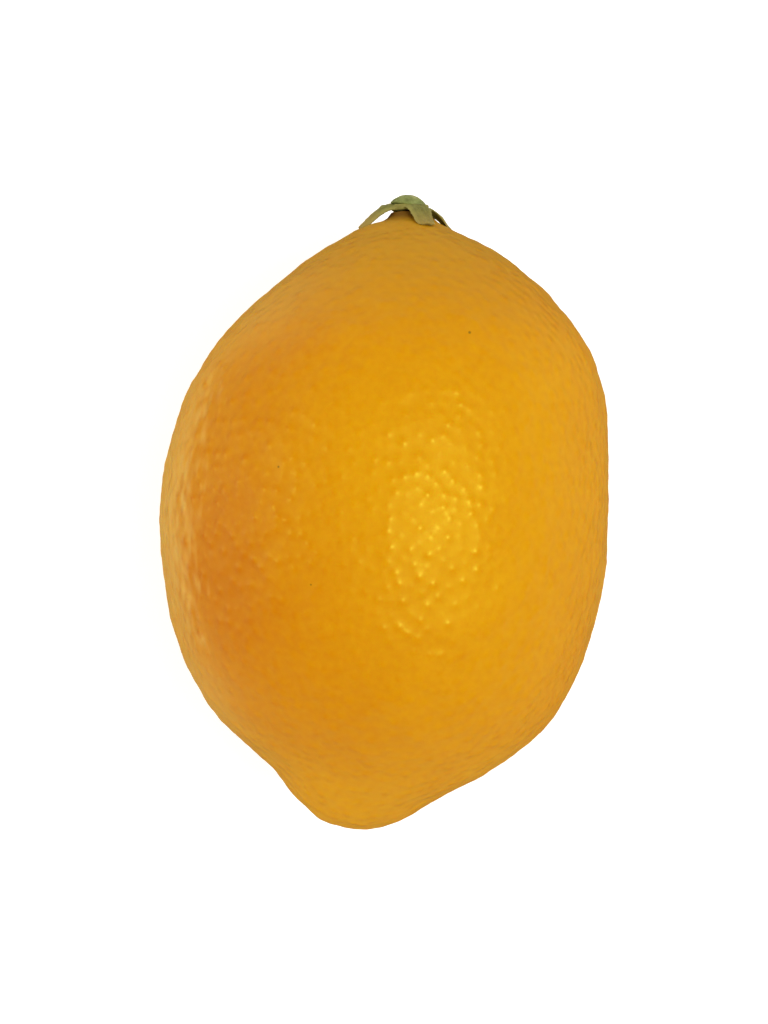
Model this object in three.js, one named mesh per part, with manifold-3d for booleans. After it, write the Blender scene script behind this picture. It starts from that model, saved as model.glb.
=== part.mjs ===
// A lemon lying on its side, as picked: the whole fruit, the green calyx on its neck and the stem end on that.
// Millimetres. The origin is the middle of the flat spot that the fruit rests on. +Y runs along the fruit from
// the nipple to the stem, +X to its right when seen from above, and +Z up.
import * as THREE from 'three';
import { mergeVertices } from 'three/addons/utils/BufferGeometryUtils.js';
import Module from 'manifold-3d';

// Driving dimensions.
const girth = 60;                 // greatest width of the fruit
const restDepth = 0.55;           // how much of the underside the flat spot takes off
const restStation = 42;           // from the nipple tip to the middle of the flat spot
const roundness = 0.985;          // height of a cross-section over its width
const segmentsAround = 56;
const segmentsAlong = 48;

// Outline of the fruit as [distance from the nipple tip, radius]: blunt nipple, belly, shoulder, short neck.
const outline = [
  [0, 0], [1.15, 5.1], [3.9, 9.1], [8.2, 14.7], [14, 21.4], [21, 26], [30, 28.8], [40, 30], [50, 29.5],
  [59, 27.7], [66, 24], [72, 18.6], [77, 12.25], [79.6, 7.7], [80.9, 5.1], [81.4, 3.8], [82, 3], [82.7, 2.55],
];
const neckTop = 82.7;

// How far the middle of the fruit leans from a straight line, as [distance from the nipple tip, offset in X].
const lean = [
  [0, -2.7], [1.5, -2.9], [4.5, -2], [8, -0.05], [12, 0.4], [24, -0.05], [38, 0], [50, 0.5], [60, 1.7],
  [68, 2.75], [74, 3.2], [77.5, 3.05], [80, 2.7], [81, 2.95], [81.6, 3.5], [83, 3.6],
];

// Soft ridges along the belly, as [degrees from the top towards +X, height, spread in degrees].
const ridges = [[-60, 0.6, 9], [36, 0.3, 17], [-18, 0.2, 12], [138, 0.45, 15], [-132, 0.4, 15]];

// The calyx: a thin disc on the neck with five lobes that arch out and come down to the shoulder.
const clearance = 0.3;            // gap kept between neighbouring pieces
const calyxThickness = 0.6;
const calyxRadius = 2.7;
const stemX = 3.55;               // the stem's place in X
// Each lobe as [degrees from +X towards +Z, reach from the stem's middle, drop, width at the root and near the tip].
const lobes = [
  [67, 5.3, 1.8, 3.3, 2.4],
  [170, 6.2, 1.9, 2.9, 1.7],
  [-3, 6.1, 2.4, 2.6, 1.5],
  [243, 5.7, 1.75, 2.8, 1.7],
  [307, 5.6, 1.95, 2.8, 1.7],
];

// The stem end: a low dome.
const buttonRadius = 2.55;
const buttonHeight = 1.2;

const wasm = await Module();
wasm.setup();

function toSolid(geometry) {
  const bare = geometry.clone();
  bare.deleteAttribute('normal');
  bare.deleteAttribute('uv');
  const merged = mergeVertices(bare, 1e-4);
  const corners = merged.index.array;
  const kept = [];
  for (let i = 0; i < corners.length; i += 3) {
    const [a, b, c] = [corners[i], corners[i + 1], corners[i + 2]];
    if (a !== b && b !== c && c !== a) kept.push(a, b, c);
  }
  const vertProperties = new Float32Array(merged.attributes.position.array);
  return new wasm.Manifold(new wasm.Mesh({ numProp: 3, vertProperties, triVerts: new Uint32Array(kept) }));
}

function toGeometry(solid) {
  const mesh = solid.getMesh();
  const geometry = new THREE.BufferGeometry();
  geometry.setAttribute('position', new THREE.BufferAttribute(mesh.vertProperties, 3));
  geometry.setIndex(new THREE.BufferAttribute(mesh.triVerts, 1));
  const flat = geometry.toNonIndexed();
  flat.computeVertexNormals();
  return flat;
}

function moveVertices(geometry, place) {
  const position = geometry.attributes.position;
  const point = new THREE.Vector3();
  for (let i = 0; i < position.count; i += 1) {
    point.fromBufferAttribute(position, i);
    place(point);
    position.setXYZ(i, point.x, point.y, point.z);
  }
  return geometry;
}

// The value of a smooth curve through [station, value] pairs, by cubic Hermite steps.
function along(pairs, station) {
  let i = 0;
  while (i < pairs.length - 2 && station > pairs[i + 1][0]) i += 1;
  const slope = (a, b) => (pairs[b][1] - pairs[a][1]) / (pairs[b][0] - pairs[a][0]);
  const [s0, v0] = pairs[i];
  const [s1, v1] = pairs[i + 1];
  const step = s1 - s0;
  const t = THREE.MathUtils.clamp((station - s0) / step, 0, 1);
  const m0 = slope(Math.max(i - 1, 0), i + 1) * step;
  const m1 = slope(i, Math.min(i + 2, pairs.length - 1)) * step;
  const rise = v1 - v0;
  return v0 + t * (m0 + t * (3 * rise - 2 * m0 - m1 + t * (m0 + m1 - 2 * rise)));
}

const axisHeight = (girth / 2) * roundness - restDepth;

// The lathe's profile runs up the long axis, from the nipple tip over the belly to the middle of the neck's top.
function fruitProfile() {
  const mirrored = [-outline[1][1], outline[1][0]];
  const points = [mirrored, ...outline.map(([station, radius]) => [radius, station])];
  const curve = new THREE.SplineCurve(points.map(([x, y]) => new THREE.Vector2(x, y)));
  const tip = 1 / (points.length - 1);
  const profile = [new THREE.Vector2(0, 0)];
  for (let i = 1; i <= segmentsAlong; i += 1) {
    profile.push(curve.getPoint(tip + (1 - tip) * (i / segmentsAlong)));
  }
  profile.push(new THREE.Vector2(0, neckTop));
  return profile;
}

function ridgeHeight(degrees, station) {
  const belly = Math.sin(Math.PI * THREE.MathUtils.clamp((station - 12) / 62, 0, 1)) ** 1.2;
  let height = 0;
  for (const [middle, most, spread] of ridges) {
    const away = THREE.MathUtils.euclideanModulo(degrees - middle + 180, 360) - 180;
    height += most * Math.exp(-0.5 * (away / spread) ** 2);
  }
  return height * belly;
}

function shapeFruit(point) {
  const station = point.y;
  const radius = Math.hypot(point.x, point.z);
  const degrees = THREE.MathUtils.radToDeg(Math.atan2(point.x, point.z));
  const grown = radius > 0.01 ? 1 + ridgeHeight(degrees, station) / radius : 1;
  point.x = point.x * grown + along(lean, station);
  point.z = point.z * grown * roundness + axisHeight;
  point.y = station - restStation;
}

function makeFruit() {
  const body = moveVertices(new THREE.LatheGeometry(fruitProfile(), segmentsAround), shapeFruit);
  const below = new THREE.BoxGeometry(4 * girth, 4 * girth, girth);
  below.translate(0, 0, -girth / 2);
  return toSolid(body).subtract(toSolid(below));
}

// A lobe is a bar bent along an arch, first level, then down, with a blunt rounded tip.
function makeLobe([degrees, reach, drop, rootWidth, tipWidth]) {
  const bar = new THREE.BoxGeometry(1, 1, 1, 4, 9, 1);
  const direction = THREE.MathUtils.degToRad(degrees);
  const rootRadius = calyxRadius * 0.75;
  moveVertices(bar, (point) => {
    const t = point.y + 0.5;
    const blunt = Math.sqrt(1 - 0.75 * THREE.MathUtils.clamp((t - 0.7) / 0.3, 0, 1) ** 2);
    const sideways = point.x * THREE.MathUtils.lerp(rootWidth, tipWidth, t) * blunt;
    const steepness = 2 * drop * t / (reach - rootRadius);
    const thickness = point.z * calyxThickness;
    const outward = rootRadius + (reach - rootRadius) * t + thickness * steepness / Math.hypot(1, steepness);
    const level = calyxThickness / 2 - drop * t * t + thickness / Math.hypot(1, steepness);
    point.set(
      outward * Math.cos(direction) - sideways * Math.sin(direction),
      level,
      outward * Math.sin(direction) + sideways * Math.cos(direction),
    );
  });
  return toSolid(bar);
}

function makeCalyx() {
  const disc = new THREE.CylinderGeometry(calyxRadius, calyxRadius * 0.92, calyxThickness, 24);
  disc.translate(0, calyxThickness / 2, 0);
  let solid = toSolid(disc);
  for (const lobe of lobes) solid = solid.add(makeLobe(lobe));
  return solid;
}

function makeButton() {
  const dome = new THREE.SplineCurve([
    new THREE.Vector2(buttonRadius * 0.86, 0),
    new THREE.Vector2(buttonRadius, buttonHeight * 0.34),
    new THREE.Vector2(buttonRadius * 0.72, buttonHeight * 0.82),
    new THREE.Vector2(0, buttonHeight),
  ]);
  return toSolid(new THREE.LatheGeometry([new THREE.Vector2(0, 0), ...dome.getPoints(9)], 20));
}

const group = new THREE.Group();

function addPiece(name, solid, material, x = 0, y = 0, z = 0) {
  const mesh = new THREE.Mesh(toGeometry(solid), new THREE.MeshStandardMaterial(material));
  mesh.name = name;
  mesh.position.set(x, y, z);
  group.add(mesh);
}

const calyxBase = neckTop - restStation + clearance;
const buttonBase = calyxBase + calyxThickness + clearance;
addPiece('fruit', makeFruit(), { color: 0xe09a14, roughness: 0.42, metalness: 0 });
addPiece('calyx', makeCalyx(), { color: 0x7d7c3c, roughness: 0.6, metalness: 0 }, stemX, calyxBase, axisHeight);
addPiece('stem_button', makeButton(), { color: 0x76803a, roughness: 0.65, metalness: 0 }, stemX, buttonBase, axisHeight);

export default group;
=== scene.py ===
import math

import bmesh
import bpy
import numpy as np
from mathutils import Matrix, Vector, noise
from mathutils.kdtree import KDTree


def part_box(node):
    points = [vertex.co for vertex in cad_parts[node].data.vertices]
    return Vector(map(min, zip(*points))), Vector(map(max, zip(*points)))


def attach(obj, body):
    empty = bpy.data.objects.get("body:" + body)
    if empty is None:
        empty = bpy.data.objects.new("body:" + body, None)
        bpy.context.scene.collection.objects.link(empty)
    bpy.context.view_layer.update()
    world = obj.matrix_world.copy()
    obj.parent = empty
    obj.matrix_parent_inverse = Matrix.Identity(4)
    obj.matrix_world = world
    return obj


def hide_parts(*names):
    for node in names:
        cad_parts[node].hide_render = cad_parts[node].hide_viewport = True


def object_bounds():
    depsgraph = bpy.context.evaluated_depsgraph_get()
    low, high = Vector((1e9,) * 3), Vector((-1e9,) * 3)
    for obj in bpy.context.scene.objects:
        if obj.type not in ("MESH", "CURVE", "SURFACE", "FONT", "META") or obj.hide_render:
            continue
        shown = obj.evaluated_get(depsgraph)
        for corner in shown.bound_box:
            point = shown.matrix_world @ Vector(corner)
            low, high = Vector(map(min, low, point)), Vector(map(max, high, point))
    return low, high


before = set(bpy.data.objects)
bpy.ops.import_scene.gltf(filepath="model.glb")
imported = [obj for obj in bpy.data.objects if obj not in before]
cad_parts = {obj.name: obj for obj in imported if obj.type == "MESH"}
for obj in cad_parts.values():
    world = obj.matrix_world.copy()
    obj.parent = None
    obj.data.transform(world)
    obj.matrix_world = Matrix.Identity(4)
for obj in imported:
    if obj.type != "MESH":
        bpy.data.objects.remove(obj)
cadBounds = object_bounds()
mm = 0.001
fruitLow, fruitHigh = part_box("fruit")
buttonLow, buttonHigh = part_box("stem_button")
stemX = (buttonLow.x + buttonHigh.x) / 2 / mm
stemZ = (buttonLow.z + buttonHigh.z) / 2 / mm
neckTop = fruitHigh.y / mm
print("frame loaded:", sorted(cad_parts))


# Shared helpers

def hexToLinear(code):
    channels = [int(code[i:i + 2], 16) / 255 for i in (1, 3, 5)]
    return (*[c / 12.92 if c <= 0.04045 else ((c + 0.055) / 1.055) ** 2.4 for c in channels], 1.0)


def addNode(tree, kind, inputs=None, ramp=None, **settings):
    node = tree.nodes.new(kind)
    for name, value in settings.items():
        setattr(node, name, value)
    for name, value in (inputs or {}).items():
        if isinstance(value, bpy.types.NodeSocket):
            tree.links.new(value, node.inputs[name])
        else:
            node.inputs[name].default_value = value
    if ramp:
        stops = node.color_ramp.elements
        while len(stops) < len(ramp):
            stops.new(1.0)
        for stop, (position, code) in zip(stops, ramp):
            stop.position = position
            stop.color = hexToLinear(code)
    return node


def newMaterial(name):
    material = bpy.data.materials.new(name)
    material.use_nodes = True
    material.node_tree.nodes.clear()
    return material, material.node_tree


def meshObject(name, mesh):
    piece = bpy.data.objects.new(name, mesh)
    bpy.context.scene.collection.objects.link(piece)
    return piece


def readPoints(mesh, field="co"):
    values = np.zeros(len(mesh.vertices) * 3, np.float32)
    mesh.vertices.foreach_get(field, values)
    return values.reshape(-1, 3).astype(float)


def writePoints(mesh, points):
    mesh.vertices.foreach_set("co", points.astype(np.float32).ravel())
    mesh.update()


def writeValues(mesh, name, values):
    layer = mesh.attributes.new(name, "FLOAT", "POINT")
    layer.data.foreach_set("value", values.astype(np.float32))


def smoothPath(points, steps=60):
    # a Catmull-Rom curve through a few given points
    p = np.array([points[0], *points, points[-1]], float)
    t = np.linspace(0, 1, steps, endpoint=False)[:, None]
    spans = []
    for a, b, c, d in zip(p, p[1:], p[2:], p[3:]):
        spans.append(b + t * (0.5 * (c - a) + t * (a - 2.5 * b + 2 * c - 0.5 * d
                                                   + t * (1.5 * (b - c) + 0.5 * (d - a)))))
    return np.vstack([*spans, p[-1:]])


def fade(values, low, high):
    # 0 below low and 1 above high, with a smooth step between
    t = np.clip((values - low) / (high - low), 0, 1)
    return t * t * (3 - 2 * t)


def noiseAt(points, size, seed):
    # soft lumps about `size` across, from -1 to 1
    shift = Vector((seed * 7.3, seed * 3.1, seed * 5.7))
    return np.array([noise.noise(Vector(p) / size + shift) for p in points])


# Fruit: the peel, as one closed skin around the CAD fruit's box

fruit = {
    "outline": [  # millimetres from the nipple tip, radius
        (0, 0), (1.15, 5.1), (3.9, 9.1), (8.2, 14.7), (14, 21.4), (21, 26), (30, 28.8), (40, 30), (50, 29.5),
        (59, 27.7), (66, 24), (72, 18.6), (77, 12.25), (79.6, 7.7), (80.9, 5.1), (81.4, 3.8), (82, 3),
        (82.65, 2.45), (82.7, 0)],
    "lean": [  # millimetres from the nipple tip, how far the middle sits towards +X
        (0, -2.7), (1.5, -2.9), (4.5, -2), (8, -0.05), (12, 0.4), (24, -0.05), (38, 0), (50, 0.5), (60, 1.7),
        (68, 2.75), (74, 3.2), (77.5, 3.05), (80, 2.7), (81, 2.95), (81.6, 3.5), (83, 3.6)],
    # soft ridges along the belly: degrees from the top towards +X, height in mm, spread in degrees
    "ridges": [(-60, 0.6, 9), (36, 0.3, 17), (-18, 0.2, 12), (138, 0.45, 15), (-132, 0.4, 15)],
    "belly": (12, 62),       # mm from the nipple tip to where the ridges begin, and how far they run
    "roundness": 0.985,      # height of a cross-section over its width
    "cells": 128,            # squares along each side of the six grids
    "lumps": [(11, 0.16), (4.5, 0.18), (2.4, 0.1)],       # broad and finer unevenness: size and height in mm
    "neck": (79, 81.5),      # mm from the nipple tip, where lumps and pebbles fade
    "neckLoss": (0.8, 0.85),        # how much of the lumps and of the pebbles is gone on the neck
    "glandSpacing": 1.42,    # mm, least distance between two oil glands
    "glandSizes": (0.45, 1.4),      # lowest and tallest pebble, times pebbleRise
    "pebbleRise": 0.06,      # mm
    "pebbleWidth": 0.66,     # mm, from the middle of a pebble to where it has fallen to a third
    "pebbleLevel": 0.35,     # how much of pebbleRise is sunk below the smooth skin, so the size stays
    "patches": (9, 0.3),     # patches of taller and of flatter pebbles: size in mm and how much they differ
    # spots of deeper orange, partly the skin's own colour and partly painted shade on the left, away from
    # the key
    # light, and spots of painted sheen, where the skin is made lighter to stand in for a reflection of the
    # room:
    # degrees from the top towards +X, mm from the nipple tip, spread in degrees and in mm, strength
    "deeper": [(-43, 52, 18, 14, 0.65), (-46, 32, 21, 11, 0.6), (-20, 22, 26, 8, 0.3), (5, 12, 60, 6, 0.16),
               (-5, 71, 60, 6, 0.3), (62, 24, 20, 9, 0.2), (150, 52, 45, 17, 0.5), (-150, 25, 40, 14, 0.4)],
    "paintedSheen": [(-60, 70, 20, 5, 0.4), (-75, 20, 16, 6, 0.5), (100, 40, 14, 18, 0.4)],
    # painted sheen on the left flank: the skin made lighter, with a ragged border, to stand in for the room
    # reflected in the wax at a steep angle: degrees where it begins and is full, and where it fades at the
    # back, mm from the nipple tip, spread in mm, how ragged, strength and how much the streaks, painted
    # highlights, change it
    "flank": (-51, -62, -100, -125, 41, 17, 0.8, 0.62, 0.3),
    "streaks": (0.8, 0.35),  # width in mm, and width over length
    "restSoftness": 0.12,    # mm, how softly the skin turns into the flat spot
    "restClear": (0.05, 0.8),       # mm above the floor, where pebbles begin and where they are full
    "seed": 11,
    # finish
    "yellow": "#E39D00",
    "orange": "#D07300",
    # pale: the colour of the painted sheen, a reflection of the room painted into the skin
    "pale": "#E9B352",
    "stemTan": "#C68B16",
    # painted shade: the brown the neck is darkened to where the calyx shades it
    "neckShadeBrown": "#7A4A14",
    "speckBrown": "#5A3508",
    "gloss": "#E4FF5C",      # what the waxed skin gives back of white light, straight on
    "warmth": 0.06,          # how far the whole skin goes from yellow to orange
    "blotchSize": 12,        # mm
    "blotch": 0.5,           # how far blotches go from yellow to orange
    "mottleSize": 0.9,       # mm, faint spots where the oil shows through
    "mottle": 0.5,           # how far those spots go
    "tan": (0.78, 0.985, 0.85),     # begins and is full at these shares of the way to the stem, strength
    # painted shade on the neck under the calyx: where it begins and where it is full, in shares of the way
    # to the stem
    "brown": (0.979, 0.994),        # begins and is full
    "specks": [(10.9, 23.2, 0.2), (-13.1, 6.2, 0.15), (-9, -8.5, 0.13)],    # mm in X and Y, radius
    "speckStrength": 0.7,    # how brown they get
    "pebbleBump": 0.065,     # mm, finer pebbles on top of those in the shape
    "unevenSize": 2.2,       # mm, makes the pebbles less than even
    "uneven": 0.22,          # how much wider or narrower they get
    "worn": (0.25, 0.9),     # height of a pebble where the wax begins to be worn, and where it is fully worn
    "topRoughness": 0.34,    # the wax is worn smooth on the pebbles and stays dull between them
    "valleyRoughness": 0.5,
    "grainSize": 0.3,        # mm, fine roughness of the cuticle
    "grainRise": 0.018,      # mm
    "ior": 1.45,             # wax
    "specular": 0.9,
    "bleed": 0.35,           # how much of the light comes back out of the pith
    "bleedReach": (1.0, 0.45, 0.1),         # mm that red, green and blue travel there
}


def cubeSphere(cells):
    # six even grids wrapped on a ball, which keeps the squares alike and has no poles
    bm = bmesh.new()
    bmesh.ops.create_cube(bm, size=2)
    bmesh.ops.subdivide_edges(bm, edges=bm.edges[:], cuts=cells - 1, use_grid_fill=True)
    mesh = bpy.data.meshes.new("lemon_peel")
    bm.to_mesh(mesh)
    bm.free()
    points = np.tan(readPoints(mesh) * math.pi / 4)
    return mesh, points / np.linalg.norm(points, axis=1)[:, None]


def fruitForm(directions):
    # the outline mirrored past the tip makes the tip round, and its span is dropped again
    station, radius = fruit["outline"][1]
    steps = 60
    path = smoothPath([(station, -radius), *fruit["outline"]], steps)[steps:]
    length = np.concatenate([[0], np.cumsum(np.linalg.norm(np.diff(path, axis=0), axis=1))])
    share = np.arccos(np.clip(-directions[:, 1], -1, 1)) / math.pi * length[-1]
    station = np.interp(share, length, path[:, 0])
    radius = np.interp(share, length, path[:, 1])
    around = np.arctan2(directions[:, 0], directions[:, 2])
    begin, run = fruit["belly"]
    belly = np.sin(math.pi * np.clip((station - begin) / run, 0, 1)) ** 1.2
    for middle, height, spread in fruit["ridges"]:
        away = (np.degrees(around) - middle + 180) % 360 - 180
        radius = radius + belly * height * np.exp(-0.5 * (away / spread) ** 2)
    leanPath = smoothPath(fruit["lean"])
    x = radius * np.sin(around) + np.interp(station, leanPath[:, 0], leanPath[:, 1])
    z = radius * np.cos(around) * fruit["roundness"]
    return np.column_stack([x, station, z]), station, np.degrees(around)


def softSpots(around, station, spots):
    total = np.zeros(len(station))
    for degrees, middle, wide, long, strength in spots:
        turn = (around - degrees + 180) % 360 - 180
        total += strength * np.exp(-0.5 * ((turn / wide) ** 2 + ((station - middle) / long) ** 2))
    return np.clip(total, 0, 1)


def scatterGlands(points, corners, spacing, seed):
    # one dart lands anywhere on each face, and sticks if no other gland is nearer than the spacing
    rng = np.random.default_rng(seed)
    u, v = rng.random((2, len(corners), 1))
    a, b, c, d = (points[corners[:, i]] for i in range(4))
    darts = (1 - v) * ((1 - u) * a + u * b) + v * ((1 - u) * d + u * c)
    cells, kept = {}, []
    reach = [(i, j, k) for i in (-1, 0, 1) for j in (-1, 0, 1) for k in (-1, 0, 1)]
    keys = np.floor(darts / spacing).astype(int)
    for index in rng.permutation(len(darts)):
        key, p = tuple(keys[index]), darts[index]
        near = (q for i, j, k in reach for q in cells.get((key[0] + i, key[1] + j, key[2] + k), ()))
        if all((q[0] - p[0]) ** 2 + (q[1] - p[1]) ** 2 + (q[2] - p[2]) ** 2 >= spacing ** 2 for q in near):
            cells.setdefault(key, []).append(tuple(p))
            kept.append(p)
    return np.array(kept)


def pebbleHeights(points, rise, tree):
    # a soft dome over every gland
    heights = np.zeros(len(points))
    for row, p in enumerate(points):
        heights[row] = sum(rise[i] * math.exp(-(distance / fruit["pebbleWidth"]) ** 2)
                           for _, i, distance in tree.find_n(p, 4))
    return heights


def writeGlands(mesh, points, corners, glands, rise, tree):
    # every corner of a face holds the way to the three glands nearest that face, and how tall each one is,
    # so the finish can draw whole pebbles
    near = np.array([[i for _, i, _ in tree.find_n(p, 3)] for p in points[corners].mean(axis=1)])
    for rank in range(3):
        away = points[corners] - glands[near[:, rank]][:, None]
        size = np.repeat(rise[near[:, rank]], 4).reshape(-1, 4, 1)
        layer = mesh.attributes.new(f"gland{rank}", "FLOAT_COLOR", "CORNER")
        layer.data.foreach_set("color", np.concatenate([away, size], axis=2).astype(np.float32).ravel())


def makePeel():
    mesh, directions = cubeSphere(fruit["cells"])
    points, station, around = fruitForm(directions)
    smallEnd = fade(station, *fruit["neck"])
    lumpLoss, pebbleLoss = fruit["neckLoss"]
    for size, height in fruit["lumps"]:
        points += directions * ((1 - lumpLoss * smallEnd) * height * noiseAt(points, size, 3))[:, None]

    # set in the CAD fruit's box, standing on its flat spot
    low, high = points.min(axis=0), points.max(axis=0)
    points[:, 0] += (fruitLow.x + fruitHigh.x) / 2 / mm - (low[0] + high[0]) / 2
    points[:, 1] += fruitLow.y / mm - low[1]
    points[:, 2] += fruitHigh.z / mm - high[2]
    soft = fruit["restSoftness"]
    points[:, 2] = soft * np.logaddexp(0, points[:, 2] / soft)
    writePoints(mesh, points)
    normals = readPoints(mesh, "normal")

    # oil glands and their pebbles
    corners = np.zeros(len(mesh.loops), np.int32)
    mesh.loops.foreach_get("vertex_index", corners)
    corners = corners.reshape(-1, 4)
    glands = scatterGlands(points, corners, fruit["glandSpacing"], fruit["seed"])
    rise = np.random.default_rng(fruit["seed"] + 1).uniform(*fruit["glandSizes"], len(glands))
    tree = KDTree(len(glands))
    for i, p in enumerate(glands):
        tree.insert(p, i)
    tree.balance()
    writeGlands(mesh, points, corners, glands, rise, tree)
    heights = pebbleHeights(points, rise, tree)
    patchSize, patchChange = fruit["patches"]
    patches = 1 + patchChange * noiseAt(points, patchSize, 8)
    clear = fade(points[:, 2], *fruit["restClear"]) * (1 - pebbleLoss * smallEnd)
    points += normals * (fruit["pebbleRise"] * (heights - fruit["pebbleLevel"]) * patches * clear)[:, None]
    points[:, 2] = np.maximum(points[:, 2], 0)
    writePoints(mesh, points * mm)

    # what the finish needs to know about each place
    writeValues(mesh, "along", station / fruit["outline"][-1][0])
    writeValues(mesh, "pebbled", 1 - pebbleLoss * smallEnd)
    # deeper-orange spots, partly the skin's own colour and partly painted shade on the left, away from the
    # key light
    writeValues(mesh, "deeper", softSpots(around, station, fruit["deeper"]))
    # painted sheen: lighter spots, and a lighter flank with painted highlight streaks, standing in for
    # reflections of the room
    begin, full, fadeBegin, fadeEnd, middle, long, ragged, strength, change = fruit["flank"]
    streakWidth, slimness = fruit["streaks"]
    streaks = noiseAt(points * (1, slimness, 1), streakWidth, 5)
    flank = np.clip((around - begin) / (full - begin) + ragged * streaks, 0, 1)
    flank *= fade(around, fadeEnd, fadeBegin)
    flank *= np.exp(-0.5 * ((station - middle) / long) ** 2) * (strength + change * streaks)
    writeValues(mesh, "paintedSheen", np.maximum(softSpots(around, station, fruit["paintedSheen"]), flank))
    mesh.polygons.foreach_set("use_smooth", [True] * len(mesh.polygons))
    print("peel:", len(mesh.polygons), "faces,", len(glands), "oil glands")
    return meshObject("lemon_peel", mesh)


peel = makePeel()


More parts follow.
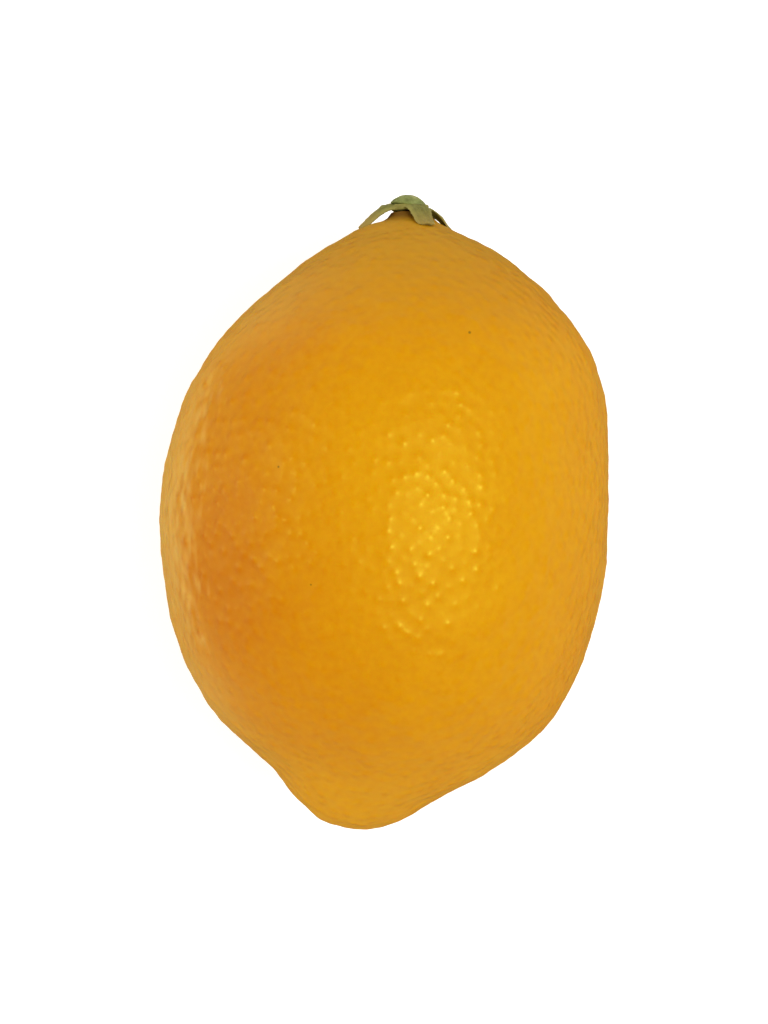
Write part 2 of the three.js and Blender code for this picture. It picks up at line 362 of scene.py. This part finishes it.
# Ripe lemon peel, grown and waxed: a saturated skin over pale pith, so light bleeds through a little, with a
# soft wax gloss that breaks into a dot on every pebble
def lemonPeel():
    material, tree = newMaterial("lemon_peel_waxed")
    place = addNode(tree, "ShaderNodeTexCoord").outputs["Object"]
    inMm = addNode(tree, "ShaderNodeVectorMath", {0: place, "Scale": 1 / mm}, operation="SCALE").outputs[0]
    x, y, z = addNode(tree, "ShaderNodeSeparateXYZ", {0: inMm}).outputs
    along, deeper, paintedSheen, pebbled = (addNode(tree, "ShaderNodeAttribute", attribute_name=name).outputs["Fac"]
                                     for name in ("along", "deeper", "paintedSheen", "pebbled"))

    # yellow into orange, in soft blotches and in fine spots
    blotch = addNode(tree, "ShaderNodeTexNoise", {"Vector": inMm, "Scale": 1 / fruit["blotchSize"],
                                                  "Detail": 4.0, "Roughness": 0.6}).outputs["Fac"]
    blotch = addNode(tree, "ShaderNodeMath", {0: blotch, 1: 0.5}, operation="SUBTRACT").outputs[0]
    mottle = addNode(tree, "ShaderNodeTexNoise", {"Vector": inMm, "Scale": 1 / fruit["mottleSize"],
                                                  "Detail": 2.0}).outputs["Fac"]
    mottle = addNode(tree, "ShaderNodeMath", {0: mottle, 1: 0.5}, operation="SUBTRACT").outputs[0]
    # deeper spots: partly the skin's own colour and partly painted shade on the left, away from the key
    # light
    warm = addNode(tree, "ShaderNodeMath", {0: mottle, 1: fruit["mottle"], 2: deeper},
                   operation="MULTIPLY_ADD").outputs[0]
    warm = addNode(tree, "ShaderNodeMath", {0: warm, 1: fruit["warmth"]}).outputs[0]
    warm = addNode(tree, "ShaderNodeMath", {0: blotch, 1: fruit["blotch"], 2: warm},
                   operation="MULTIPLY_ADD", use_clamp=True).outputs[0]
    yellow, orange = hexToLinear(fruit["yellow"]), hexToLinear(fruit["orange"])
    body = addNode(tree, "ShaderNodeMix", {"Factor": warm, 6: yellow, 7: orange},
                   data_type="RGBA").outputs[2]

    # then painted sheen on the flanks, tan near the stem, painted shade on the neck under the calyx and a
    # few dark specks on the upper side
    begin, full, strength = fruit["tan"]
    nearStem = addNode(tree, "ShaderNodeMapRange", {"Value": along, "From Min": begin, "From Max": full,
                                                    "To Max": strength}).outputs[0]
    # painted shade: the neck darkened to brown just under the calyx
    begin, full = fruit["brown"]
    shadeUnderCalyx = addNode(tree, "ShaderNodeMapRange", {"Value": along, "From Min": begin, "From Max": full},
                     interpolation_type="SMOOTHSTEP").outputs[0]
    layers = [(paintedSheen, "pale"), (nearStem, "stemTan"), (shadeUnderCalyx, "neckShadeBrown")]
    flatPlace = addNode(tree, "ShaderNodeCombineXYZ", {"X": x, "Y": y}).outputs[0]
    upper = addNode(tree, "ShaderNodeMath", {0: z, 1: fruitHigh.z / 2 / mm},
                    operation="GREATER_THAN").outputs[0]
    for speckX, speckY, radius in fruit["specks"]:
        gap = addNode(tree, "ShaderNodeVectorMath", {0: flatPlace, 1: (speckX, speckY, 0)},
                      operation="DISTANCE").outputs["Value"]
        spot = addNode(tree, "ShaderNodeMapRange", {
            "Value": gap, "From Min": radius * 0.4, "From Max": radius * 1.2,
            "To Min": fruit["speckStrength"], "To Max": 0.0}).outputs[0]
        spot = addNode(tree, "ShaderNodeMath", {0: spot, 1: upper}, operation="MULTIPLY").outputs[0]
        layers.append((spot, "speckBrown"))
    for share, name in layers:
        body = addNode(tree, "ShaderNodeMix", {"Factor": share, 6: body, 7: hexToLinear(fruit[name])},
                       data_type="RGBA").outputs[2]

    # relief: a soft dome over each of the three nearest glands, no two quite the same
    uneven = addNode(tree, "ShaderNodeTexNoise", {"Vector": inMm, "Scale": 1 / fruit["unevenSize"],
                                                  "Detail": 1.0}).outputs["Fac"]
    uneven = addNode(tree, "ShaderNodeMapRange", {
        "Value": uneven, "To Min": (1 - fruit["uneven"]) / fruit["pebbleWidth"],
        "To Max": (1 + fruit["uneven"]) / fruit["pebbleWidth"]}).outputs[0]
    relief = None
    for rank in range(3):
        gland = addNode(tree, "ShaderNodeAttribute", attribute_name=f"gland{rank}").outputs
        away = addNode(tree, "ShaderNodeVectorMath", {0: gland["Vector"]},
                       operation="LENGTH").outputs["Value"]
        away = addNode(tree, "ShaderNodeMath", {0: away, 1: uneven}, operation="MULTIPLY").outputs[0]
        drop = addNode(tree, "ShaderNodeMath", {0: away, 1: away}, operation="MULTIPLY").outputs[0]
        dome = addNode(tree, "ShaderNodeMath", {0: math.exp(-1), 1: drop}, operation="POWER").outputs[0]
        dome = addNode(tree, "ShaderNodeMath", {0: dome, 1: gland["Alpha"]}, operation="MULTIPLY").outputs[0]
        if relief:
            dome = addNode(tree, "ShaderNodeMath", {0: relief, 1: dome}).outputs[0]
        relief = dome
    relief = addNode(tree, "ShaderNodeMath", {0: relief, 1: pebbled}, operation="MULTIPLY").outputs[0]
    pebbles = addNode(tree, "ShaderNodeBump", {"Strength": 1.0, "Distance": fruit["pebbleBump"] * mm,
                                               "Height": relief}).outputs[0]
    grain = addNode(tree, "ShaderNodeTexNoise", {"Vector": inMm, "Scale": 1 / fruit["grainSize"],
                                                 "Detail": 4.0, "Roughness": 0.6}).outputs["Fac"]
    bump = addNode(tree, "ShaderNodeBump", {"Strength": 0.5, "Distance": fruit["grainRise"] * mm,
                                            "Height": grain, "Normal": pebbles}).outputs[0]
    begin, full = fruit["worn"]
    gloss = addNode(tree, "ShaderNodeMapRange", {
        "Value": relief, "From Min": begin, "From Max": full,
        "To Min": fruit["valleyRoughness"], "To Max": fruit["topRoughness"]}).outputs[0]
    shader = addNode(tree, "ShaderNodeBsdfPrincipled", {
        "Base Color": body, "Roughness": gloss, "Normal": bump, "IOR": fruit["ior"],
        "Specular IOR Level": fruit["specular"],
        "Specular Tint": hexToLinear(fruit["gloss"]),
        "Subsurface Weight": fruit["bleed"], "Subsurface Radius": fruit["bleedReach"],
        "Subsurface Scale": 1.0 * mm,
    })
    addNode(tree, "ShaderNodeOutputMaterial", {"Surface": shader.outputs[0]})
    return material


# Calyx: five lobes that grow out of one cup, fused by a fine remesh

calyx = {
    "cupRadius": 2.6,        # mm, like all lengths here
    "cupHeight": 0.75,
    "cupMiddle": 0.6,        # over the neck
    # degrees from +X towards +Z, (distance from the stem's middle, height over the neck), half width at root
    # and tip, thickness, roll of the near edge at root and tip in degrees
    "lobes": [
        (67, [(0.8, 0.6), (2.4, 0.65), (3.5, 0.15), (4.3, -0.6), (5.1, -1.4), (6.0, -2.0)],
         1.8, 1.35, 0.55, 0, 0),
        (170, [(0.8, 0.75), (2.5, 0.78), (3.5, 0.47), (4.4, -0.1), (5.2, -0.78), (6.1, -1.62), (6.75, -2.3)],
         1.35, 0.95, 0.8, 15, 9),
        (-3, [(0.8, 0.45), (2.5, 0.2), (3.35, -0.15), (4.1, -0.72), (4.7, -1.4), (5.3, -2.1), (6.05, -2.9)],
         1.3, 0.7, 0.42, 24, 3),
        (243, [(0.8, 0.55), (2.4, 0.6), (3.5, 0.25), (4.6, -0.6), (5.7, -1.75)], 1.3, 0.75, 0.55, 8, 0),
        (307, [(0.8, 0.55), (2.4, 0.55), (3.5, 0.15), (4.6, -0.75), (5.6, -1.85)], 1.4, 0.9, 0.55, -8, 0),
    ],
    "cupping": 0.3,          # how far the sides of a lobe curl towards the fruit
    "thinning": 0.3,         # how much thinner a lobe is at its tip
    "tipBegins": 0.86,       # share of a lobe's length where its blunt tip begins
    # a bump on the left lobe: X and Z from the stem's middle, size, height
    "knot": (-3.75, 0.6, 0.4, 0.18),
    # fine ribs along each lobe: spacing, height, and how far out they begin and are full
    "ribs": (0.55, 0.035, 1.5, 3.2),
    "lumps": [(0.9, 0.07, 2), (0.35, 0.03, 4)],     # size, height, seed
    "reach": 6.4,            # from the stem's middle to the tips
    "voxel": 0.1,
    # finish
    "olive": "#8F8A3E",
    "darkOlive": "#6F6A28",
    "edge": "#A59A4A",
    "tip": "#B08E3E",
    "mottleSize": 0.8,       # mm
    "fibreSize": 0.18,       # mm, drawn as coarse as it needs to show
    "fibreRise": 0.05,       # mm
    "roughness": (0.5, 0.7),        # least and most
    "ior": 1.42,             # leaf skin
    "bleed": 0.1,
    "bleedReach": (0.5, 0.6, 0.2),
}


def addLobe(bm, degrees, points, rootHalf, tipHalf, thickness, rollRoot, rollTip):
    path = smoothPath(points, 8)
    tangent = np.gradient(path, axis=0)
    tangent /= np.linalg.norm(tangent, axis=1)[:, None]
    angle = math.radians(degrees)
    outward = np.array([math.cos(angle), 0, math.sin(angle)])
    across = np.array([-math.sin(angle), 0, math.cos(angle)])
    tipBegins = calyx["tipBegins"]
    rows, columns = len(path), 13
    sheets = []
    for side in (1, -1):
        sheet = []
        for i, (distance, height) in enumerate(path):
            t = i / (rows - 1)
            blunt = math.sqrt(max(1 - max((t - tipBegins) / (1 - tipBegins), 0) ** 2, 0.08))
            half = (rootHalf + (tipHalf - rootHalf) * t) * blunt
            roll = math.radians(rollRoot + (rollTip - rollRoot) * t)
            line = []
            for j in range(columns):
                w = 2 * j / (columns - 1) - 1
                thick = thickness / 2 * math.sqrt(max(1 - abs(w) ** 3, 0)) * (1 - calyx["thinning"] * t)
                up = side * thick - calyx["cupping"] * w * w * (0.4 + 0.6 * t) + w * half * math.sin(roll)
                place = outward * (distance - tangent[i][1] * up) + across * (w * half * math.cos(roll))
                place[1] += height + tangent[i][0] * up
                line.append(bm.verts.new(place))
            sheet.append(line)
        sheets.append(sheet)

    # the upper and the lower sheet, then the sides and the ends between them
    top, bottom = sheets
    for i in range(rows - 1):
        for j in range(columns - 1):
            bm.faces.new((top[i][j], top[i][j + 1], top[i + 1][j + 1], top[i + 1][j]))
            bm.faces.new((bottom[i][j], bottom[i + 1][j], bottom[i + 1][j + 1], bottom[i][j + 1]))
        for j, turn in ((0, 1), (columns - 1, -1)):
            ring = (top[i][j], top[i + 1][j], bottom[i + 1][j], bottom[i][j])
            bm.faces.new(ring[::turn])
    for i, turn in ((0, -1), (rows - 1, 1)):
        for j in range(columns - 1):
            ring = (top[i][j], top[i][j + 1], bottom[i][j + 1], bottom[i][j])
            bm.faces.new(ring[::turn])


def fuse(piece, voxel, rounds):
    # one skin around everything that overlaps, with the steps of the voxels smoothed off
    remesh = piece.modifiers.new("fuse", "REMESH")
    remesh.mode = "VOXEL"
    remesh.voxel_size = voxel
    smooth = piece.modifiers.new("soften", "SMOOTH")
    smooth.iterations = rounds
    smooth.factor = 0.5
    evaluated = piece.evaluated_get(bpy.context.evaluated_depsgraph_get())
    mesh = bpy.data.meshes.new_from_object(evaluated)
    piece.modifiers.clear()
    piece.data = mesh
    return mesh


def makeCalyx():
    bm = bmesh.new()
    for lobe in calyx["lobes"]:
        addLobe(bm, *lobe)
    cup = bmesh.ops.create_cone(bm, cap_ends=True, segments=48, radius1=calyx["cupRadius"] * 0.9,
                                radius2=calyx["cupRadius"], depth=calyx["cupHeight"])["verts"]
    bmesh.ops.rotate(bm, verts=cup, matrix=Matrix.Rotation(-math.pi / 2, 3, "X"))
    bmesh.ops.translate(bm, verts=cup, vec=(0, calyx["cupMiddle"], 0))
    bmesh.ops.recalc_face_normals(bm, faces=bm.faces)
    mesh = bpy.data.meshes.new("calyx_star")
    bm.to_mesh(mesh)
    bm.free()
    piece = meshObject("calyx_star", mesh)
    mesh = fuse(piece, calyx["voxel"], 3)
    points, normals = readPoints(mesh), readPoints(mesh, "normal")

    # for every point, the lobe it lies on: how near its side, and how far off its middle line
    distance = np.hypot(points[:, 0], points[:, 2])
    around = np.arctan2(points[:, 2], points[:, 0])
    side, offLine = np.ones(len(points)), np.zeros(len(points))
    for degrees, path, rootHalf, tipHalf, *_ in calyx["lobes"]:
        away = distance * np.sin(around - math.radians(degrees))
        ahead = distance * np.cos(around - math.radians(degrees))
        share = np.clip(ahead / path[-1][0], 0, 1)
        half = rootHalf + (tipHalf - rootHalf) * share
        here = (ahead > 0) & (np.abs(away) / half < side)
        side = np.where(here, np.abs(away) / half, side)
        offLine = np.where(here, away, offLine)

    # knot, ribs and lumps
    knotX, knotZ, knotSize, knotRise = calyx["knot"]
    knot = np.exp(-((points[:, 0] - knotX) ** 2 + (points[:, 2] - knotZ) ** 2) / knotSize ** 2)
    points[:, 1] += knotRise * knot * (normals[:, 1] > 0)
    ribSpacing, ribRise, ribBegin, ribFull = calyx["ribs"]
    relief = ribRise * (np.cos(offLine * 2 * math.pi / ribSpacing) * fade(distance, ribBegin, ribFull))
    for size, height, seed in calyx["lumps"]:
        relief = relief + height * noiseAt(points, size, seed)
    points += normals * relief[:, None]
    points += np.array([stemX, neckTop, stemZ])
    writePoints(mesh, points * mm)
    writeValues(mesh, "reach", distance / calyx["reach"])
    writeValues(mesh, "side", side)
    # how far each point faces down, for the painted shade on the lobes' undersides
    writeValues(mesh, "under", fade(-normals[:, 1], -0.2, 0.7))
    mesh.polygons.foreach_set("use_smooth", [True] * len(mesh.polygons))
    print("calyx:", len(mesh.polygons), "faces")
    return piece


calyxStar = makeCalyx()


# Fresh sepals, leathery and slightly dried: dull olive, yellower along the edges, brown at the tips, with
# painted shade darkening their undersides
def sepalSkin():
    material, tree = newMaterial("sepal_olive_leathery")
    place = addNode(tree, "ShaderNodeTexCoord").outputs["Object"]
    inMm = addNode(tree, "ShaderNodeVectorMath", {0: place, "Scale": 1 / mm}, operation="SCALE").outputs[0]
    reach, side, under = (addNode(tree, "ShaderNodeAttribute", attribute_name=name).outputs["Fac"]
                          for name in ("reach", "side", "under"))
    mottle = addNode(tree, "ShaderNodeTexNoise", {"Vector": inMm, "Scale": 1 / calyx["mottleSize"],
                                                  "Detail": 4.0, "Roughness": 0.6}).outputs["Fac"]
    spread = addNode(tree, "ShaderNodeMapRange", {"Value": mottle, "From Min": 0.3,
                                                  "From Max": 0.7}).outputs[0]
    dark, light = hexToLinear(calyx["darkOlive"]), hexToLinear(calyx["olive"])
    body = addNode(tree, "ShaderNodeMix", {"Factor": spread, 6: dark, 7: light}, data_type="RGBA").outputs[2]
    edges, tips = (addNode(tree, "ShaderNodeMapRange", {"Value": value, "From Min": 0.6, "From Max": 1.0,
                                                        "To Max": most}).outputs[0]
                   for value, most in ((side, 0.7), (reach, 0.75)))
    # painted shade: the undersides of the lobes darkened towards dark olive
    shade = addNode(tree, "ShaderNodeMath", {0: under, 1: 0.5}, operation="MULTIPLY").outputs[0]
    for share, name in ((edges, "edge"), (tips, "tip"), (shade, "darkOlive")):
        body = addNode(tree, "ShaderNodeMix", {"Factor": share, 6: body, 7: hexToLinear(calyx[name])},
                       data_type="RGBA").outputs[2]
    fibre = addNode(tree, "ShaderNodeTexNoise", {"Vector": inMm, "Scale": 1 / calyx["fibreSize"],
                                                 "Detail": 3.0}).outputs["Fac"]
    bump = addNode(tree, "ShaderNodeBump", {"Strength": 0.5, "Distance": calyx["fibreRise"] * mm,
                                            "Height": fibre}).outputs[0]
    low, high = calyx["roughness"]
    rough = addNode(tree, "ShaderNodeMapRange", {"Value": mottle, "To Min": low, "To Max": high}).outputs[0]
    shader = addNode(tree, "ShaderNodeBsdfPrincipled", {
        "Base Color": body, "Roughness": rough, "Normal": bump, "IOR": calyx["ior"],
        "Subsurface Weight": calyx["bleed"], "Subsurface Radius": calyx["bleedReach"],
        "Subsurface Scale": 0.4 * mm,
    })
    addNode(tree, "ShaderNodeOutputMaterial", {"Surface": shader.outputs[0]})
    return material


# Stem end: the rounded stub of the stem left on the calyx

button = {
    "radius": 2.6,           # mm, like all lengths here
    "base": 0.95,            # above the neck
    "shift": -0.04,          # in X, from the CAD stem end's middle
    "rise": 1.42,            # from the base to the top
    "sink": 0.35,            # from the base down into the calyx
    "lens": 1.7,             # 1 is a ball, more is a lens with a sharper edge
    "tilt": 9,               # degrees, lower towards +X
    "lumps": [(1.4, 0.08), (0.6, 0.06), (0.28, 0.03)],    # size, height
    "scarAt": (0.4, 0.9),    # X and Z from the middle
    "scarRadius": 0.7,
    "scarDepth": 0.06,
    "rim": (0.16, 0.03),     # the raised edge of the scar: width, height
    # finish
    "moss": "#838A3F",
    "dark": "#5F6526",
    "pale": "#A3A860",
    "cork": "#ADA86A",
    "mottleSize": 0.9,       # mm
    "grainSize": 0.16,       # mm
    "grainRise": 0.06,       # mm
    "roughness": (0.55, 0.75),      # least and most
    "ior": 1.45,
    "bleed": 0.08,
    "bleedReach": (0.5, 0.6, 0.2),
}


def makeButton():
    bm = bmesh.new()
    bmesh.ops.create_icosphere(bm, subdivisions=6, radius=1)
    mesh = bpy.data.meshes.new("stem_end")
    bm.to_mesh(mesh)
    bm.free()
    ball = readPoints(mesh)
    up = ball[:, 1]
    height = np.where(up > 0, np.abs(up) ** button["lens"] * button["rise"], up * button["sink"])
    points = np.column_stack([ball[:, 0] * button["radius"], height, ball[:, 2] * button["radius"]])
    relief = sum(tall * noiseAt(points, size, seed) for seed, (size, tall) in enumerate(button["lumps"], 6))
    scarX, scarZ = button["scarAt"]
    scarRadius = button["scarRadius"]
    rimWidth, rimRise = button["rim"]
    reach = np.hypot(points[:, 0] - scarX, points[:, 2] - scarZ)
    scar = np.where(up > 0, fade(-reach, -scarRadius, -scarRadius + 0.25), 0)
    rim = np.where(up > 0, np.exp(-((reach - scarRadius) / rimWidth) ** 2), 0)
    points += ball * (relief + rimRise * rim - button["scarDepth"] * scar)[:, None]
    turn = np.array(Matrix.Rotation(math.radians(-button["tilt"]), 3, "Z"))
    points = points @ turn.T + np.array([stemX + button["shift"], neckTop + button["base"], stemZ])
    writePoints(mesh, points * mm)
    writeValues(mesh, "scar", scar)
    writeValues(mesh, "height", np.clip(up, 0, 1))
    mesh.polygons.foreach_set("use_smooth", [True] * len(mesh.polygons))
    print("stem end:", len(mesh.polygons), "faces")
    return meshObject("stem_end", mesh)


stemEnd = makeButton()


# Green stem end, fibrous and matt: mottled moss green, lighter towards its top, and a corky scar
def stemSkin():
    material, tree = newMaterial("stem_green_fibrous")
    place = addNode(tree, "ShaderNodeTexCoord").outputs["Object"]
    inMm = addNode(tree, "ShaderNodeVectorMath", {0: place, "Scale": 1 / mm}, operation="SCALE").outputs[0]
    scar, height = (addNode(tree, "ShaderNodeAttribute", attribute_name=name).outputs["Fac"]
                    for name in ("scar", "height"))
    mottle = addNode(tree, "ShaderNodeTexNoise", {"Vector": inMm, "Scale": 1 / button["mottleSize"],
                                                  "Detail": 4.0, "Roughness": 0.6}).outputs["Fac"]
    ramp = [(0.3, button["dark"]), (0.52, button["moss"]), (0.72, button["pale"])]
    body = addNode(tree, "ShaderNodeValToRGB", {"Fac": mottle}, ramp).outputs[0]
    for value, most, name in ((height, 0.35, "pale"), (scar, 0.6, "cork")):
        share = addNode(tree, "ShaderNodeMath", {0: value, 1: most}, operation="MULTIPLY").outputs[0]
        body = addNode(tree, "ShaderNodeMix", {"Factor": share, 6: body, 7: hexToLinear(button[name])},
                       data_type="RGBA").outputs[2]
    grain = addNode(tree, "ShaderNodeTexNoise", {"Vector": inMm, "Scale": 1 / button["grainSize"],
                                                 "Detail": 3.0}).outputs["Fac"]
    bump = addNode(tree, "ShaderNodeBump", {"Strength": 0.6, "Distance": button["grainRise"] * mm,
                                            "Height": grain}).outputs[0]
    low, high = button["roughness"]
    rough = addNode(tree, "ShaderNodeMapRange", {"Value": mottle, "To Min": low, "To Max": high}).outputs[0]
    shader = addNode(tree, "ShaderNodeBsdfPrincipled", {
        "Base Color": body, "Roughness": rough, "Normal": bump, "IOR": button["ior"],
        "Subsurface Weight": button["bleed"], "Subsurface Radius": button["bleedReach"],
        "Subsurface Scale": 0.4 * mm,
    })
    addNode(tree, "ShaderNodeOutputMaterial", {"Surface": shader.outputs[0]})
    return material


for piece, material, node, slot in ((peel, lemonPeel(), "fruit", "lemon_peel"),
                                    (calyxStar, sepalSkin(), "calyx", "calyx_green"),
                                    (stemEnd, stemSkin(), "stem_button", "stem_green")):
    piece.data.materials.clear()
    piece.data.materials.append(material)
    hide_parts(node)
    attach(piece, "root")
print("finishes on")


# Studio: a pale floor, a pale room that the peel's gloss sees dimmer than it is, one soft light to the right
# of the camera and weaker ones to its left

studio = {
    "frameHeight": 137.4,    # mm, height of the view at the fruit's middle
    "lens": 100,             # mm
    "sensor": 36,            # mm
    "floorSize": 6.0,        # m
    "floorGlow": 0.5,        # light the floor gives by itself
    "roomLight": 0.69,       # light from all round
    "roomInGloss": 0.05,     # the same, as the gloss sees it
    "lights": [
        # name, degrees from straight up towards +X and towards +Y, power in W, width in m, distance in m
        ("key", 22, -3, 2.95, 0.26, 0.9),
        ("fill", -55, 11, 0.9, 0.2, 0.9),
        ("window", -84, 25, 0.6, 0.3, 0.9),
    ],
}


def makeFloor():
    bm = bmesh.new()
    bmesh.ops.create_grid(bm, x_segments=1, y_segments=1, size=studio["floorSize"] / 2)
    mesh = bpy.data.meshes.new("floor")
    bm.to_mesh(mesh)
    bm.free()
    floor = meshObject("floor", mesh)
    material, tree = newMaterial("floor_pale")
    shader = addNode(tree, "ShaderNodeBsdfPrincipled", {
        "Base Color": hexToLinear("#F3F3F1"), "Roughness": 0.9,
        "Emission Color": hexToLinear("#FFFFFF"), "Emission Strength": studio["floorGlow"],
    })
    addNode(tree, "ShaderNodeOutputMaterial", {"Surface": shader.outputs[0]})
    mesh.materials.append(material)
    floor.visible_glossy = False


def makeLights():
    middle = Vector((0, 0, fruitHigh.z / 2))
    for name, sideways, forward, power, size, distance in studio["lights"]:
        light = bpy.data.lights.new(name, "AREA")
        light.shape = "DISK"
        light.size = size
        light.energy = power
        lamp = bpy.data.objects.new(name, light)
        tilt = Matrix.Rotation(math.radians(-forward), 3, "X")
        turn = Matrix.Rotation(math.radians(sideways), 3, "Y")
        lamp.location = middle + tilt @ turn @ Vector((0, 0, distance))
        lamp.rotation_euler = (lamp.location - middle).to_track_quat("Z", "Y").to_euler()
        lamp.visible_camera = False
        bpy.context.scene.collection.objects.link(lamp)


def makeRoom():
    world = bpy.data.worlds.new("room")
    world.use_nodes = True
    tree = world.node_tree
    tree.nodes.clear()
    ray = addNode(tree, "ShaderNodeLightPath").outputs
    lit = addNode(tree, "ShaderNodeMix", {"Factor": ray["Is Glossy Ray"], "A": studio["roomLight"],
                                          "B": studio["roomInGloss"]}, data_type="FLOAT").outputs[0]
    strength = addNode(tree, "ShaderNodeMix", {"Factor": ray["Is Camera Ray"], "A": lit, "B": 1.0},
                       data_type="FLOAT").outputs[0]
    shader = addNode(tree, "ShaderNodeBackground", {"Color": hexToLinear("#FFFFFF"), "Strength": strength})
    addNode(tree, "ShaderNodeOutputWorld", {"Surface": shader.outputs[0]})
    bpy.context.scene.world = world
    bpy.context.scene.view_settings.view_transform = "Standard"


def makeCamera():
    data = bpy.data.cameras.new("camera")
    data.lens = studio["lens"]
    data.sensor_width = studio["sensor"]
    camera = bpy.data.objects.new("camera", data)
    low, high = cadBounds
    middle = (low + high) / 2

    # straight above and looking down, with the stem end up in the view
    distance = studio["frameHeight"] * mm * studio["lens"] / studio["sensor"]
    camera.location = (middle.x, middle.y, stemZ * mm + distance)
    bpy.context.scene.collection.objects.link(camera)
    bpy.context.scene.camera = camera


makeFloor()
makeLights()
makeRoom()
makeCamera()
print("studio set")
